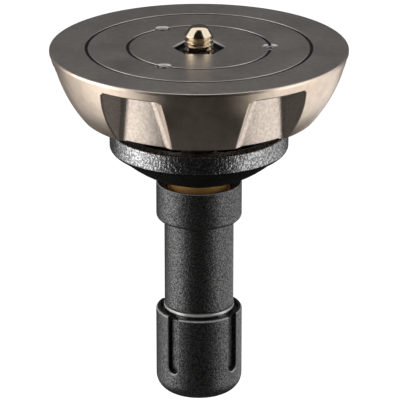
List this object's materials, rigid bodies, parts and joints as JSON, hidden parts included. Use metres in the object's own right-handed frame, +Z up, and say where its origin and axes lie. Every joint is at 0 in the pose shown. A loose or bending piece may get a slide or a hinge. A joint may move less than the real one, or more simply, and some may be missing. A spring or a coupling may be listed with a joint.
{
  "type": "tripod half ball adapter",
  "caption": "Levelling half ball with a threaded camera stud on its flat top and a clamp cup below, drawn up against a tripod bowl by a long round handle that screws on a central rod.",
  "frame": {"origin": "centre of the half ball's sphere, 9.3 mm above the flat top face, which is also the centre of the tripod bowl that holds it", "axes": "+Z up along the stud and the clamp rod; the side windows are centred on +X turned by 1.3 degrees; -Y faces the viewer"},
  "size_m": [0.0982, 0.0982, 0.1288],
  "materials": {
    "cast_aluminium": "turned and left bright, as cast in the side windows",
    "nickel_steel": "bright nickel plate",
    "black_steel": "black oxide",
    "zinc_steel": "zinc plate",
    "black_paint": "finely textured black powder coat",
    "brass": "turned, slightly tarnished",
    "nylon": "natural moulded nylon"
  },
  "bodies": {
    "ball": {"half_ball": "cast_aluminium", "camera_stud": "nickel_steel", "stud_nut": "black_steel", "clamp_rod": "zinc_steel", "rod_lock_nut": "zinc_steel", "rod_spring_pin": "black_steel", "rod_stop_washer": "zinc_steel", "rod_stop_screw": "black_steel"},
    "washer": {"thrust_washer": "brass"},
    "cup": {"clamp_cup": "black_paint", "cup_bush": "nylon"},
    "handle": {"handle_tube": "black_paint", "handle_insert": "brass", "handle_plug": "zinc_steel", "knob_ring": "nickel_steel", "knob": "black_paint", "knob_washer": "zinc_steel", "knob_screw": "black_steel"},
    "set_screw_1": {"set_screw_1": "zinc_steel"},
    "set_screw_2": {"set_screw_2": "zinc_steel"},
    "set_screw_3": {"set_screw_3": "zinc_steel"}
  },
  "joints": [
    {"name": "clamp_slide", "type": "slide", "parent": "ball", "child": "washer", "axis": [0, 0, 1], "range_m": [-0.01226, 0.00438]},
    {"name": "cup_turn", "type": "hinge", "parent": "washer", "child": "cup", "pos_m": [0, 0, -0.05], "axis": [0, 0, 1], "continuous": true},
    {"name": "handle_turn", "type": "hinge", "parent": "washer", "child": "handle", "pos_m": [0, 0, -0.08], "axis": [0, 0, 1], "range_deg": [-2520, 900]},
    {"name": "set_screw_1_rise", "type": "slide", "parent": "ball", "child": "set_screw_1", "axis": [0, 0, 1], "range_m": [-0.001, 0.002]},
    {"name": "set_screw_2_rise", "type": "slide", "parent": "ball", "child": "set_screw_2", "axis": [0, 0, 1], "range_m": [-0.001, 0.002]},
    {"name": "set_screw_3_rise", "type": "slide", "parent": "ball", "child": "set_screw_3", "axis": [0, 0, 1], "range_m": [-0.001, 0.002]}
  ],
  "couplings": [
    {"joint": "clamp_slide", "follows": "handle_turn", "m_per_rad": 0.00027852}
  ]
}
